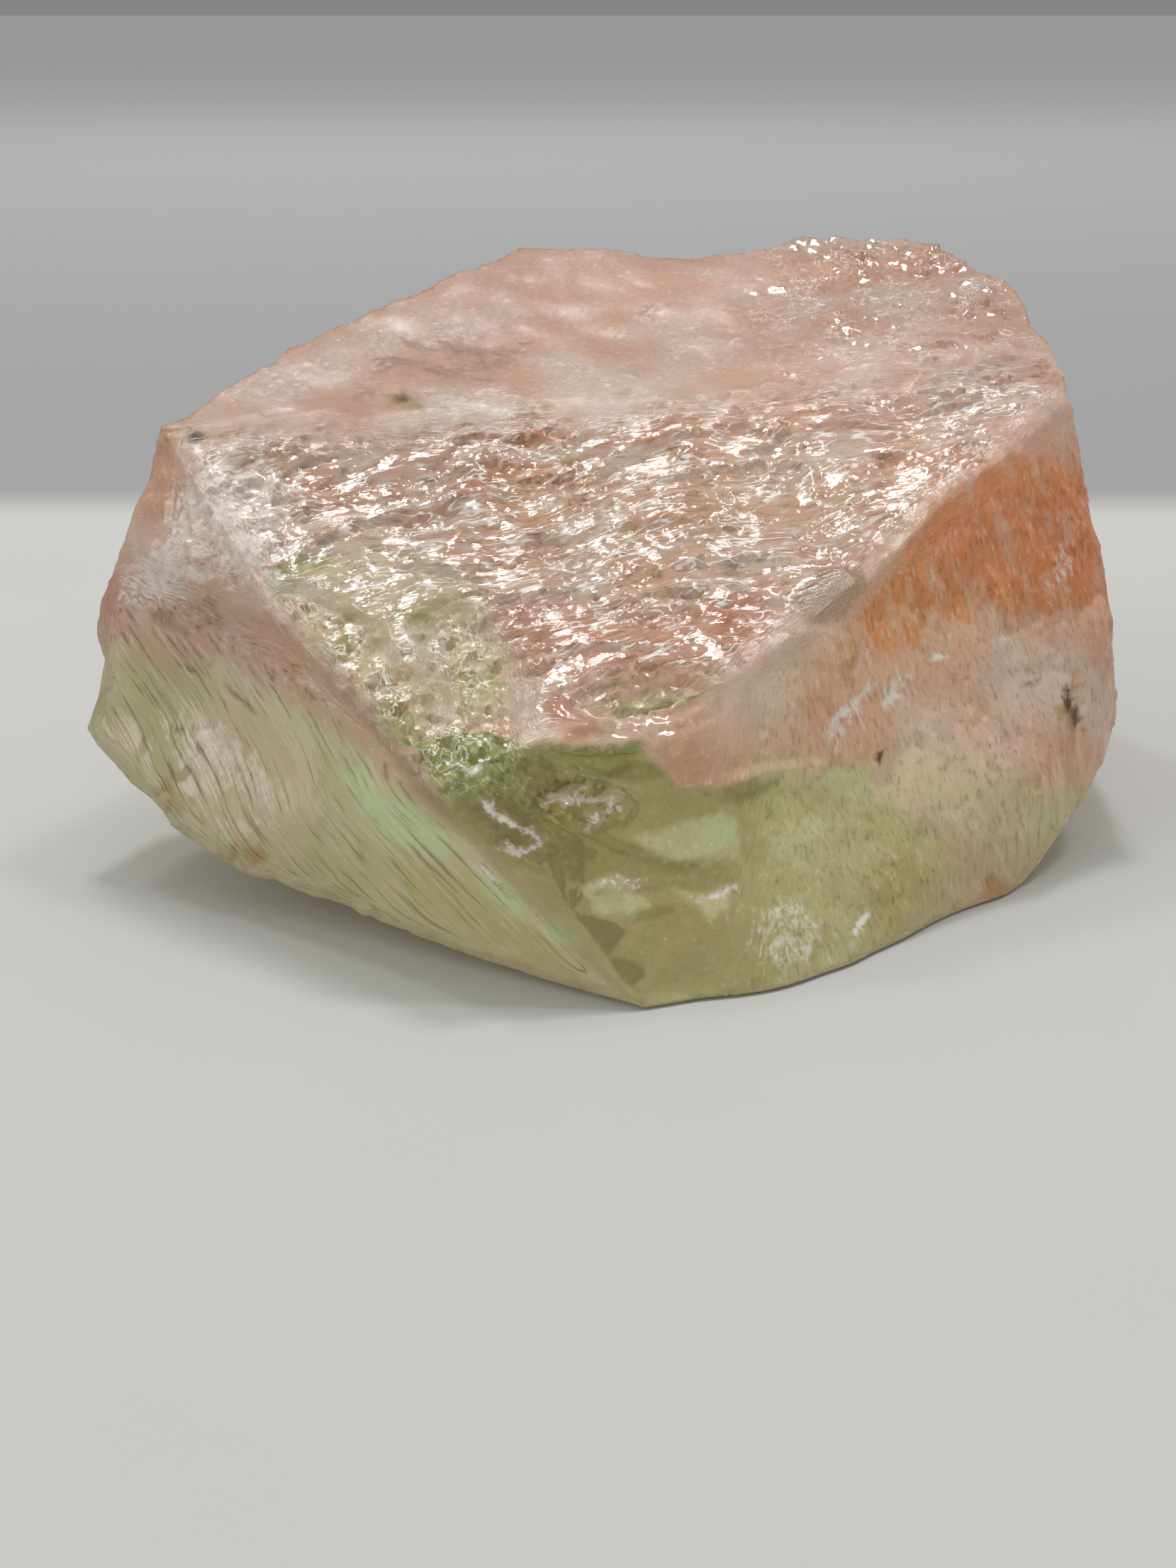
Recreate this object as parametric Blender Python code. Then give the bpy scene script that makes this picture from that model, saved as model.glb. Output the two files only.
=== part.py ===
"""Rough beryl: one broken chunk of two-coloured crystal, salmon pink above and pale green below.

The chunk is a block split along fracture faces. Each face is then scooped, rippled and roughened as
brittle crystal breaks. It rests on one flat face. Metres, +Z up, the camera side faces -Y.
"""

import math

import bmesh
import bpy
from mathutils import Vector, noise

MM = 0.001

# Driving dimensions, in millimetres
ROUGH_BLOCK = 200.0
SCOOP_REACH = 7.0
RIPPLE_LENGTH = 4.6
RIPPLE_SOURCE = 20.0
RIPPLE_BEND = 5.0
RIPPLE_BEND_SIZE = 7.7
SWELL_SIZE = 11.0
SWELL_HEIGHT = 0.55
HACKLE_SIZE = 2.6
HACKLE_HEIGHT = 0.22
LEAST_CLEARANCE = 0.08

# How finely the surface is divided: the edge length in millimetres, how much shorter the longest edge
# gets each round, and how many times and how far the vertices slide to even spacing
EDGE_LENGTH = 1.7
SPLIT_RATIO = 0.6
EVEN_ROUNDS = 3
EVEN_STEP = 0.7

# Faces that meet at more than this angle keep a crisp ridge. The rest is relaxed a little.
SHARP_RIDGE = math.radians(12.0)
RELAX_ROUNDS = 3
RELAX_STEP = 0.5

# Each fracture face: a point on it in millimetres, the way it faces (turn in degrees to the right of
# straight front, tilt in degrees above level), how deep it is scooped and how strongly it is rippled,
# both in millimetres. A negative scoop is a bulge.
FRACTURE_FACES = {
    "top": ((-3.4, 30.5, 33.6), 3.0, 72.8, 0.3, 0.12),
    "front_slope": ((14.2, 12.4, 27.7), 7.2, 58.6, 1.1, 0.3),
    "front_window": ((2.8, -20.0, 0.0), 18.3, 29.1, 0.3, 0.1),
    "right": ((14.5, -14.2, 0.0), 34.4, 26.2, 0.5, 0.2),
    "right_low": ((26.0, -3.4, 0.0), 43.2, 8.0, 0.0, 0.15),
    "right_end": ((30.1, 11.6, 25.0), 90.3, 11.5, 0.4, 0.3),
    "right_under": ((26.0, -3.4, 0.0), 82.6, -45.6, 0.3, 0.25),
    "left": ((-16.8, -8.1, 17.6), -41.4, 11.7, 1.6, 0.15),
    "left_low": ((2.8, -20.0, 0.0), -31.2, -16.4, 1.0, 0.15),
    "upper_left": ((-16.8, -8.1, 17.6), -38.3, 29.4, 0.5, 0.3),
    "left_end": ((-24.8, 5.0, 26.0), -119.0, 9.8, 0.8, 0.3),
    "left_under": ((-23.5, -5.7, 3.4), -97.5, -56.6, 0.4, 0.25),
    "underside": ((2.8, -20.0, 0.0), -65.4, -80.1, 0.3, 0.2),
    "back_left": ((-9.1, 26.2, 32.4), -131.6, 9.0, 1.2, 0.3),
    "back_bevel": ((6.0, 31.5, 33.8), -176.0, 42.0, 0.3, 0.2),
    "back": ((6.0, 34.5, 30.0), -172.0, 4.0, 1.2, 0.3),
    "back_right": ((27.7, 32.0, 33.6), 165.0, 12.0, 0.8, 0.3),
    "back_under": ((6.0, 26.0, 0.0), 175.0, -42.0, 0.8, 0.25),
    "back_left_under": ((-12.0, 17.0, 0.0), -125.0, -40.0, 0.8, 0.25),
    "back_corner": ((31.0, 27.5, 20.0), 124.0, 16.0, 0.3, 0.25),
    "back_right_under": ((25.0, 20.0, 0.0), 140.0, -45.0, 0.5, 0.25),
}
BASE_FACE = "base"
BASE = 0

# Faces that run into each other without a ridge share one scoop.
BLENDED_FACES = ({"left", "left_low"}, {"right", "right_low", "front_window"})

# Local dents: the centre in millimetres, the radius and the depth. A negative depth is a knob.
DENTS = {
    "front_lip": ((-3.0, 6.5, 26.0), 8.0, 0.8),
    "back_notch": ((7.0, 31.5, 34.0), 5.0, 0.7),
    "back_shoulder": ((27.5, 31.0, 33.5), 5.0, -0.8),
    "left_knob": ((-28.9, 1.0, 15.3), 2.4, -0.7),
    "left_tip": ((-30.3, 1.5, 8.8), 2.2, 0.2),
    "left_nick": ((-30.0, 1.2, 12.2), 1.8, 0.6),
    "left_foot": ((-24.8, -4.0, 3.6), 3.0, 0.1),
    "toe_chip": ((7.0, -16.0, 8.0), 3.0, 0.5),
    "right_tip": ((34.0, 6.5, 7.0), 3.5, 0.9),
    "right_foot": ((22.0, -7.5, 0.5), 3.0, 0.5),
    "top_basin": ((4.0, 17.0, 29.5), 9.0, 0.6),
    "shoulder": ((22.0, 16.0, 29.0), 7.0, -0.5),
}


def facing(turn, tilt):
    """The direction turned that far right of straight front and tilted that far above level."""
    turn, tilt = math.radians(turn), math.radians(tilt)
    return Vector((math.sin(turn) * math.cos(tilt), -math.cos(turn) * math.cos(tilt), math.sin(tilt)))


class Face:
    """One flat fracture face before it is scooped."""

    def __init__(self, name, point, normal, scoop=0.0, ripple=0.0):
        self.name = name
        self.point = Vector(point)
        self.normal = normal
        self.scoop = scoop
        self.ripple = ripple

    def depth_below(self, place):
        """How far inside the face a place is."""
        return (self.point - place).dot(self.normal)

    def blends_with(self, other):
        return any(self.name in group and other.name in group for group in BLENDED_FACES)


def fracture_faces():
    """The base first, then every fracture face."""
    faces = [Face(BASE_FACE, (0.0, 0.0, 0.0), Vector((0.0, 0.0, -1.0)))]
    for name, (point, turn, tilt, scoop, ripple) in FRACTURE_FACES.items():
        faces.append(Face(name, point, facing(turn, tilt), scoop, ripple))
    return faces


def split_block(faces):
    """A block in millimetres split along every face. A layer keeps the number of each polygon's face."""
    mesh = bmesh.new()
    bmesh.ops.create_cube(mesh, size=ROUGH_BLOCK)
    number = mesh.faces.layers.int.new("face_number")
    for index, face in enumerate(faces):
        cut = bmesh.ops.bisect_plane(
            mesh,
            geom=mesh.verts[:] + mesh.edges[:] + mesh.faces[:],
            plane_co=face.point,
            plane_no=face.normal,
            clear_outer=True,
        )
        rim = [item for item in cut["geom_cut"] if isinstance(item, bmesh.types.BMEdge)]
        for polygon in bmesh.ops.contextual_create(mesh, geom=rim)["faces"]:
            polygon[number] = index
    bmesh.ops.recalc_face_normals(mesh, faces=mesh.faces[:])
    return mesh, number


def faces_round(vert, number):
    """The numbers of the fracture faces that meet at a vertex."""
    return {polygon[number] for polygon in vert.link_faces}


def even_out(mesh, number):
    """Slides vertices along their face or their ridge to even spacing. Corners stay."""
    moved = {}
    for vert in mesh.verts:
        here = faces_round(vert, number)
        if len(here) > 2 or here == {BASE}:
            continue
        near = [edge.other_vert(vert) for edge in vert.link_edges]
        if len(here) == 2:
            near = [other for other in near if here <= faces_round(other, number)]
            if len(near) != 2:
                continue
        moved[vert] = sum((other.co for other in near), Vector()) / len(near)
    for vert, place in moved.items():
        vert.co = vert.co.lerp(place, EVEN_STEP)


def refine(mesh, number):
    """Splits long edges until all are near EDGE_LENGTH. The base stays one flat polygon."""
    longest_wanted = EDGE_LENGTH * 4.0 / 3.0
    limit = ROUGH_BLOCK
    while limit > longest_wanted:
        limit = max(limit * SPLIT_RATIO, longest_wanted)
        for edge in [edge for edge in mesh.edges if edge.calc_length() > limit]:
            bmesh.utils.edge_split(edge, edge.verts[0], 0.5)
        bmesh.ops.triangulate(mesh, faces=[face for face in mesh.faces if face[number] != BASE])
        for _ in range(EVEN_ROUNDS):
            turn_edges(mesh, number)
            even_out(mesh, number)


def turn_edges(mesh, number):
    """Turns the edges inside each face so that its triangles are as even as possible."""
    triangles = [face for face in mesh.faces if face[number] != BASE]
    inner = []
    for edge in mesh.edges:
        one, two = (polygon[number] for polygon in edge.link_faces)
        if one == two:
            inner.append(edge)
    bmesh.ops.beautify_fill(mesh, faces=triangles, edges=inner, method="ANGLE")


def smooth_step(value):
    value = min(max(value, 0.0), 1.0)
    return value * value * (3.0 - 2.0 * value)


def scoop_depth(face, place, faces):
    """The scoop of one face, zero at its ridges and full a little way in from them."""
    inward = SCOOP_REACH
    for other in faces:
        if other is face or face.blends_with(other):
            continue
        slant = math.sqrt(max(1.0 - face.normal.dot(other.normal) ** 2, 0.04))
        inward = min(inward, other.depth_below(place) / slant)
    return face.scoop * smooth_step(inward / SCOOP_REACH)


def ripple_height(face, place):
    """Curved ribs that spread from a point beyond the face's top, as in a shell-like fracture."""
    source = face.point + face.normal.orthogonal().normalized() * RIPPLE_SOURCE
    bend = noise.noise(place / RIPPLE_BEND_SIZE) * RIPPLE_BEND
    phase = ((place - source).length + bend) / RIPPLE_LENGTH
    crest = 1.0 - abs(2.0 * (phase % 1.0) - 1.0)
    return face.ripple * (crest * crest - 1.0 / 3.0)


def roughness_height(place):
    """The slow swell and the hackles, the same for every face so that the ridges stay closed."""
    swell = noise.noise(place / SWELL_SIZE)
    hackle = 1.0 - 3.0 * abs(noise.noise(place / HACKLE_SIZE))
    return swell * SWELL_HEIGHT + hackle * HACKLE_HEIGHT


def dent_depth(place):
    depth = 0.0
    for centre, radius, amount in DENTS.values():
        away = (place - Vector(centre)).length / radius
        depth += amount * math.exp(-away * away)
    return depth


def broken_place(place, meeting, faces):
    """Where a place on the flat faces that meet there ends up once they are scooped and roughened."""
    height = roughness_height(place) - dent_depth(place)
    for face in meeting:
        height += (ripple_height(face, place) - scoop_depth(face, place, faces)) / len(meeting)
    outward = sum((face.normal for face in meeting), Vector()).normalized()
    return place + outward * height


def break_surface(mesh, number, faces):
    """Moves every vertex off its flat face. The rim of the base stays level."""
    for vert in mesh.verts:
        here = faces_round(vert, number)
        meeting = [faces[index] for index in sorted(here - {BASE})]
        if not meeting:
            continue
        place = broken_place(vert.co, meeting, faces)
        place.z = 0.0 if BASE in here else max(place.z, LEAST_CLEARANCE)
        vert.co = place


def is_ridge(edge, number, faces):
    """Whether an edge parts two faces that meet at a sharp ridge."""
    one, two = (faces[polygon[number]] for polygon in edge.link_faces)
    return one is not two and not one.blends_with(two) and one.normal.angle(two.normal) > SHARP_RIDGE


def relax(mesh, number, faces):
    """Relaxes the surface except along sharp ridges and the base."""
    for _ in range(RELAX_ROUNDS):
        moved = {}
        for vert in mesh.verts:
            if BASE in faces_round(vert, number):
                continue
            if any(is_ridge(edge, number, faces) for edge in vert.link_edges):
                continue
            near = [edge.other_vert(vert).co for edge in vert.link_edges]
            moved[vert] = sum(near, Vector()) / len(near)
        for vert, place in moved.items():
            vert.co = vert.co.lerp(place, RELAX_STEP)


def beryl_material():
    material = bpy.data.materials.new("beryl")
    material.use_nodes = True
    shader = material.node_tree.nodes["Principled BSDF"]
    shader.inputs["Base Color"].default_value = (0.62, 0.40, 0.29, 1.0)
    shader.inputs["Roughness"].default_value = 0.22
    shader.inputs["Metallic"].default_value = 0.0
    shader.inputs["IOR"].default_value = 1.575
    return material


def centred_on_base(mesh):
    """Puts the origin at the bottom centre of the stone's box."""
    low = [min(vert.co[axis] for vert in mesh.verts) for axis in range(3)]
    high = [max(vert.co[axis] for vert in mesh.verts) for axis in range(3)]
    shift = Vector(((low[0] + high[0]) / 2, (low[1] + high[1]) / 2, low[2]))
    bmesh.ops.translate(mesh, verts=mesh.verts[:], vec=-shift)


def main():
    for item in list(bpy.data.objects):
        bpy.data.objects.remove(item, do_unlink=True)
    faces = fracture_faces()
    mesh, number = split_block(faces)
    refine(mesh, number)
    break_surface(mesh, number, faces)
    relax(mesh, number, faces)
    centred_on_base(mesh)
    bmesh.ops.scale(mesh, verts=mesh.verts[:], vec=Vector((MM, MM, MM)))
    data = bpy.data.meshes.new("beryl")
    mesh.to_mesh(data)
    mesh.free()
    data.materials.append(beryl_material())
    stone = bpy.data.objects.new("beryl", data)
    bpy.context.scene.collection.objects.link(stone)


main()
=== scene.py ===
import math

import bmesh
import bpy
import numpy as np
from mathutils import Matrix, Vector, noise
from mathutils.bvhtree import BVHTree


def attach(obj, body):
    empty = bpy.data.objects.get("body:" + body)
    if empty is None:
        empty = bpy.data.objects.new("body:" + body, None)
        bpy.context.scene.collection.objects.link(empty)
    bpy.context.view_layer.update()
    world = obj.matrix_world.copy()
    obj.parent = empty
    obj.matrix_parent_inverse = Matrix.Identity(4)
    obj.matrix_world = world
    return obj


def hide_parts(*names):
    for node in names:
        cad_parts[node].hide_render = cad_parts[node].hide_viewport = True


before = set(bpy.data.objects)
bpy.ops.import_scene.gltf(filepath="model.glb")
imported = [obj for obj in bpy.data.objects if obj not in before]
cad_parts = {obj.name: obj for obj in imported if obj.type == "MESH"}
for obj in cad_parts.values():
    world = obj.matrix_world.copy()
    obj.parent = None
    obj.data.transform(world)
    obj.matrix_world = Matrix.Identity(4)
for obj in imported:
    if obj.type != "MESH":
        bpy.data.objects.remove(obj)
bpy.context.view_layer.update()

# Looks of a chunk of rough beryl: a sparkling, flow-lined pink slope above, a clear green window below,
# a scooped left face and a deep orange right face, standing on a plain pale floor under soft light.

# The chips' tilts come from noise that starts differently each run unless it gets a seed
CHIP_SEED = 1
noise.seed_set(CHIP_SEED)

MM = 0.001
NODE = "beryl"
BODY = "root"

# The photograph's frame and the camera that matches it
IMAGE_WIDTH = 1659
IMAGE_HEIGHT = 2212
FOCAL_PIXELS = 3000.0
SENSOR = 36.0
CAMERA_PLACE = Vector((-1.774, -130.273, 49.4)) * MM
CAMERA_PITCH = math.radians(20.0)
NEAREST = 0.005
FARTHEST = 20.0

# The main fracture faces in the part's frame: a point in millimetres and the way each one faces, as
# turn in degrees to the right of straight front and tilt in degrees above level
FACES = {
    "top": ((-5.2, 21.4, 33.6), 3.0, 72.8),
    "slope": ((12.4, 3.3, 27.7), 7.2, 58.6),
    "window": ((1.0, -29.1, 0.0), 18.3, 29.1),
    "right": ((12.7, -23.3, 0.0), 34.4, 26.2),
    "right_low": ((24.2, -12.5, 0.0), 43.2, 8.0),
    "left": ((-18.6, -17.2, 17.6), -41.4, 11.7),
    "left_low": ((1.0, -29.1, 0.0), -31.2, -16.4),
    "upper_left": ((-18.6, -17.2, 17.6), -38.3, 29.4),
    "left_end": ((-26.6, -4.1, 26.0), -119.0, 9.8),
    "left_under": ((-25.3, -14.8, 3.4), -97.5, -56.6),
    "underside": ((1.0, -29.1, 0.0), -65.4, -80.1),
    "right_end": ((28.3, 2.5, 25.0), 90.3, 11.5),
    "right_under": ((24.2, -12.5, 0.0), 82.6, -45.6),
    "back_left": ((-10.9, 17.1, 32.4), -131.6, 9.0),
    "back_bevel": ((4.2, 22.4, 33.8), -176.0, 42.0),
    "back": ((4.2, 25.4, 30.0), -172.0, 4.0),
    "back_right": ((25.9, 22.9, 33.6), 165.0, 12.0),
    "back_corner": ((29.2, 18.4, 20.0), 124.0, 16.0),
    "back_under": ((4.2, 16.9, 0.0), 175.0, -42.0),
    "back_left_under": ((-13.8, 7.9, 0.0), -125.0, -40.0),
    "back_right_under": ((23.2, 10.9, 0.0), 140.0, -45.0),
    "base": ((0.0, 0.0, 0.0), 0.0, -90.0),
}

# How wide the change from one face to the next is, in millimetres
FACE_SOFTNESS = 0.22

# How the faceted solid is made finer: its ridges stay sharp, and the face that it rests on stays flat
WELD_DISTANCE = 1e-7
RIDGE_ANGLE = math.radians(25.0)
RIDGE_CREASE = 0.9
BASE_CREASE = 1.0
STRAIGHT_DOWN = -0.999
DIVISIONS = 2

# The relief fades out below this height above the floor, in millimetres
CALM_FOOT = 1.5

# Sums of noises: each part has its size in millimetres, its start, and its weight or height
RAGGED_EDGE = ((0.9, 41.0, 1.0), (0.4, 42.0, 0.6))
UNEVENNESS = ((4.2, 11.3, 1.0), (1.9, 5.0, 0.4))
FLOW_WANDER = ((9.0, 3.1, 1.6), (3.6, 7.7, 0.5))
STEP_WANDER = ((0.9, 31.0, 0.25),)
LIP_WANDER = ((0.7, 32.0, 0.15),)
SPOT_EDGE = ((1.1, 9.9, 1.0), (0.45, 3.9, 0.5))
STREAK_EDGE = ((0.8, 1.9, 0.5),)
FLAT_SHADING = ((1.6, 36.0, 1.0),)
CLOUD = ((6.0, 21.0, 1.0), (2.4, 22.0, 0.4))
MOTTLE = ((1.5, 23.0, 1.0), (0.6, 24.0, 0.6))

# Spreads the chips' places, so that neighbouring chips tilt in quite different ways
CHIP_SPREAD = 7.31

# A value for the places that are far from every line, in millimetres or pixels
FAR_AWAY = 1e9


def facing(turn, tilt):
    turn, tilt = math.radians(turn), math.radians(tilt)
    return np.array((math.sin(turn) * math.cos(tilt), -math.cos(turn) * math.cos(tilt), math.sin(tilt)))


def smooth_step(low, high, value):
    part = np.clip((value - low) / (high - low), 0.0, 1.0)
    return part * part * (3.0 - 2.0 * part)


def perlin(places, offset=0.0):
    """Smooth noise from about -1 to 1 at each row of places."""
    return np.array([noise.noise(place) for place in (places + offset).tolist()])


def chips(places, offset=0.0):
    """A surface of small flat chips, each tilted its own way; one chip is about 1 wide."""
    result = []
    for place in (places + offset).tolist():
        centre = noise.voronoi(place)[1][0]
        tilt = noise.noise_vector(centre * CHIP_SPREAD)
        result.append((Vector(place) - centre).dot(tilt))
    return np.array(result)


def summed(kind, points, parts):
    """The sum of several perlin or chips surfaces over points in millimetres."""
    return sum(weight * kind(points / size, start) for size, start, weight in parts)


def drawn_out(along, across, length, width=1.0):
    """Places for a noise whose grains are longer along a line than across it."""
    return np.stack([along / length, across / width, np.zeros_like(along)], 1)


def crease_sharp_edges(mesh):
    """Welds a faceted mesh and marks its sharp ridges, so that subdividing keeps them."""
    shape = bmesh.new()
    shape.from_mesh(mesh)
    bmesh.ops.remove_doubles(shape, verts=shape.verts[:], dist=WELD_DISTANCE)
    crease = shape.edges.layers.float.new("crease_edge")
    for edge in shape.edges:
        if edge.calc_face_angle(0.0) > RIDGE_ANGLE:
            edge[crease] = RIDGE_CREASE
        one, two = edge.link_faces
        if (one.normal.z < STRAIGHT_DOWN) != (two.normal.z < STRAIGHT_DOWN):
            edge[crease] = BASE_CREASE
    shape.to_mesh(mesh)
    shape.free()


def fine_mesh(node):
    """The node's surface made finer, and smooth between its ridges."""
    rough = node.data.copy()
    crease_sharp_edges(rough)
    carrier = bpy.data.objects.new("carrier", rough)
    bpy.context.scene.collection.objects.link(carrier)
    divide = carrier.modifiers.new("divide", "SUBSURF")
    divide.levels = DIVISIONS
    divide.render_levels = DIVISIONS
    graph = bpy.context.evaluated_depsgraph_get()
    fine = bpy.data.meshes.new_from_object(carrier.evaluated_get(graph))
    bpy.data.objects.remove(carrier, do_unlink=True)
    fine.name = "stone"
    return fine


def mesh_points(mesh):
    flat = np.empty(len(mesh.vertices) * 3)
    mesh.vertices.foreach_get("co", flat)
    return flat.reshape(-1, 3) / MM


def mesh_normals(mesh):
    flat = np.empty(len(mesh.vertices) * 3)
    mesh.vertex_normals.foreach_get("vector", flat)
    return flat.reshape(-1, 3)


class Surface:
    """The stone's fine mesh while its surface is being worked, in millimetres."""

    def __init__(self, mesh):
        self.mesh = mesh
        self.points = mesh_points(mesh)
        self.normals = mesh_normals(mesh)
        self.height = np.zeros(len(self.points))
        self.shares = self.face_shares()
        polygons = [tuple(polygon.vertices) for polygon in mesh.polygons]
        self.tree = BVHTree.FromPolygons([Vector(point) for point in self.points], polygons)
        self.eye = Vector(CAMERA_PLACE) / MM
        self.pixels = self.photo_pixels()
        self.seen = np.einsum("ij,ij->i", np.array(self.eye) - self.points, self.normals) > 0.0
        self.ragged = self.waves(RAGGED_EDGE)

    def photo_pixels(self):
        """Where the photograph shows each point, in its pixels."""
        cosine, sine = math.cos(CAMERA_PITCH), math.sin(CAMERA_PITCH)
        offset = self.points - np.array(self.eye)
        depth = offset[:, 1] * cosine - offset[:, 2] * sine
        up = offset[:, 1] * sine + offset[:, 2] * cosine
        across = IMAGE_WIDTH / 2 + FOCAL_PIXELS * offset[:, 0] / depth
        return np.stack([across, IMAGE_HEIGHT / 2 - FOCAL_PIXELS * up / depth], 1)

    def waves(self, parts):
        """A sum of smooth noises over the stone."""
        return summed(perlin, self.points, parts)

    def chipped(self, parts):
        """A sum of chipped surfaces over the stone."""
        return summed(chips, self.points, parts)

    def face_shares(self):
        """How much each point belongs to each main face: to the one whose plane it sticks out to most."""
        heights = np.array([(self.points - np.array(point)) @ facing(turn, tilt)
                            for point, turn, tilt in FACES.values()])
        shares = np.exp((heights - heights.max(axis=0)) / FACE_SOFTNESS)
        shares /= shares.sum(axis=0)
        return dict(zip(FACES, shares))

    def on(self, *names):
        return sum(self.shares[name] for name in names)

    def spot(self, pixel):
        """The place on the stone that the photograph shows at a pixel."""
        across = (pixel[0] - IMAGE_WIDTH / 2) / FOCAL_PIXELS
        up = (IMAGE_HEIGHT / 2 - pixel[1]) / FOCAL_PIXELS
        cosine, sine = math.cos(CAMERA_PITCH), math.sin(CAMERA_PITCH)
        way = Vector((across, cosine + up * sine, up * cosine - sine))
        return np.array(self.tree.ray_cast(self.eye, way)[0])

    def distance_to(self, pixels, normal=(0.0, -1.0, 0.0)):
        """What line_distance says of each point and a line of the photograph's pixels."""
        return line_distance(self.points, [self.spot(pixel) for pixel in pixels], normal)

    def along(self, name, centre):
        """Each point's place on a main face, in millimetres right of and above a centre."""
        _, turn, tilt = FACES[name]
        right = np.array((math.cos(math.radians(turn)), math.sin(math.radians(turn)), 0.0))
        offset = self.points - centre
        return offset @ right, offset @ np.cross(facing(turn, tilt), right)

    def finish(self):
        keep = smooth_step(0.0, CALM_FOOT, self.points[:, 2])
        moved = self.points + self.normals * (self.height * keep)[:, None]
        moved[:, 2] = np.maximum(moved[:, 2], 0.0)
        self.mesh.vertices.foreach_set("co", (moved * MM).ravel())
        self.mesh.update()

    def store(self, name, values):
        layer = self.mesh.attributes.new(name, "FLOAT", "POINT")
        layer.data.foreach_set("value", values.astype(np.float32))

    def store_vector(self, name, values):
        layer = self.mesh.attributes.new(name, "FLOAT_VECTOR", "POINT")
        layer.data.foreach_set("vector", values.astype(np.float32).ravel())


def oval(across, up, half_width, half_height, turn=0.0):
    """1 at the middle of an oval, 0 at its rim and below 0 outside."""
    cosine, sine = math.cos(math.radians(turn)), math.sin(math.radians(turn))
    long = (across * cosine + up * sine) / half_width
    short = (up * cosine - across * sine) / half_height
    return 1.0 - np.hypot(long, short)


def line_distance(points, line, normal):
    """Each point's distance to a line of places, how far along it lies from 0 to 1, and which side it
    is on: 1 above a line that runs to the right on a face with this normal, and -1 below."""
    best = np.full(len(points), FAR_AWAY)
    share = np.zeros(len(points))
    side = np.ones(len(points))
    count = len(line) - 1
    for index in range(count):
        start, end = line[index], line[index + 1]
        run = end - start
        part = np.clip((points - start) @ run / (run @ run), 0.0, 1.0)
        offset = points - start - part[:, None] * run
        distance = np.linalg.norm(offset, axis=1)
        nearer = distance < best
        best[nearer] = distance[nearer]
        share[nearer] = ((index + part) / count)[nearer]
        side[nearer] = np.sign(np.cross(run, offset) @ np.array(normal))[nearer]
    return best, share, side


# The slope's flow lines: they sweep from the right edge down to the left, and curl at the left end
FLOW_CENTRE = np.array((0.0, -8.0, 22.0))
FLOW_RISE = 0.15
FLOW_CURL = 0.006
CURL_START = 5.0

# Where the photograph shows the stone's features, in its pixels
LEDGE_LINES = (
    ((525, 740), (600, 722), (675, 710), (760, 702)),
    ((615, 742), (700, 775), (770, 770), (830, 745), (900, 720), (1000, 700)),
    ((400, 800), (440, 775), (500, 745), (560, 728)),
    ((560, 800), (640, 808), (720, 800), (800, 768), (880, 752), (990, 735)),
    ((640, 880), (720, 850), (800, 840), (900, 842)),
    ((860, 650), (940, 622), (1040, 610), (1160, 618)),
    ((900, 690), (1000, 668), (1100, 660)),
    ((1000, 810), (1080, 790), (1150, 795)),
    ((740, 935), (830, 915), (940, 918), (1040, 940)),
)
EDGE_LIPS = (
    ((1425, 635), (1345, 690), (1270, 770), (1210, 835), (1185, 875)),
    ((1185, 875), (1150, 890), (1100, 912), (1062, 950)),
    ((330, 800), (400, 880), (450, 930), (530, 1010), (600, 1105)),
    ((745, 1047), (800, 1050), (860, 1052), (930, 1040)),
    ((1020, 1112), (1060, 1095), (1110, 1085), (1165, 1080)),
)
# Painted highlights: thin white lines on the slope's rims, standing in for light glinting there
PAINTED_GLINT_RIMS = (
    ((1100, 735), (1112, 716), (1140, 708), (1172, 714), (1190, 736)),
    ((1105, 745), (1130, 768), (1165, 776), (1190, 760)),
    ((1095, 718), (1090, 690), (1105, 672), (1128, 662), (1146, 680), (1140, 700)),
    ((1120, 848), (1140, 812), (1165, 800)),
    ((1186, 880), (1202, 850), (1222, 815)),
    ((850, 985), (880, 968), (930, 962), (985, 966)),
    ((845, 990), (885, 1000), (940, 996), (975, 985)),
    ((800, 960), (850, 940), (930, 934), (1000, 946)),
    ((812, 1000), (850, 1022), (900, 1030), (960, 1020)),
    ((560, 870), (575, 900), (600, 940), (640, 970)),
    ((520, 930), (560, 900), (610, 890), (660, 905)),
    ((600, 1040), (640, 1010), (680, 1000)),
)
WINDOW_LEDGE = ((770, 1146), (820, 1165), (870, 1195), (960, 1225), (1045, 1205))
WINDOW_STEPS = (
    ((700, 1140), (725, 1165), (745, 1178), (775, 1182)),
    ((700, 1190), (750, 1200), (790, 1190)),
    ((830, 1262), (880, 1250), (940, 1256)),
    ((850, 1295), (920, 1290), (985, 1268)),
    ((1045, 1205), (1062, 1250), (1048, 1290), (1066, 1335)),
)
# Small ledges that face up and catch the light; painted highlight lines are laid along them too
BRIGHT_LEDGES = {
    "window": (
        ((680, 1125), (700, 1150), (742, 1175), (768, 1186)),
        ((705, 1195), (735, 1204), (765, 1190)),
        ((765, 1140), (785, 1120), (830, 1108)),
        ((790, 1135), (830, 1128), (875, 1122)),
        ((822, 1170), (845, 1150), (868, 1136)),
        ((640, 1075), (665, 1090), (680, 1075)),
        ((665, 1215), (690, 1238), (700, 1245)),
        ((835, 1250), (870, 1240), (905, 1252)),
        ((985, 1270), (1020, 1262), (1040, 1250)),
    ),
    "right": (
        ((1166, 1046), (1185, 1010), (1232, 968)),
        ((1250, 1000), (1262, 975), (1278, 955)),
        ((1200, 1330), (1215, 1300), (1228, 1285)),
        ((1310, 930), (1335, 925)),
        ((1400, 905), (1425, 900)),
    ),
}
CHIP = (812, 1133)
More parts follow.
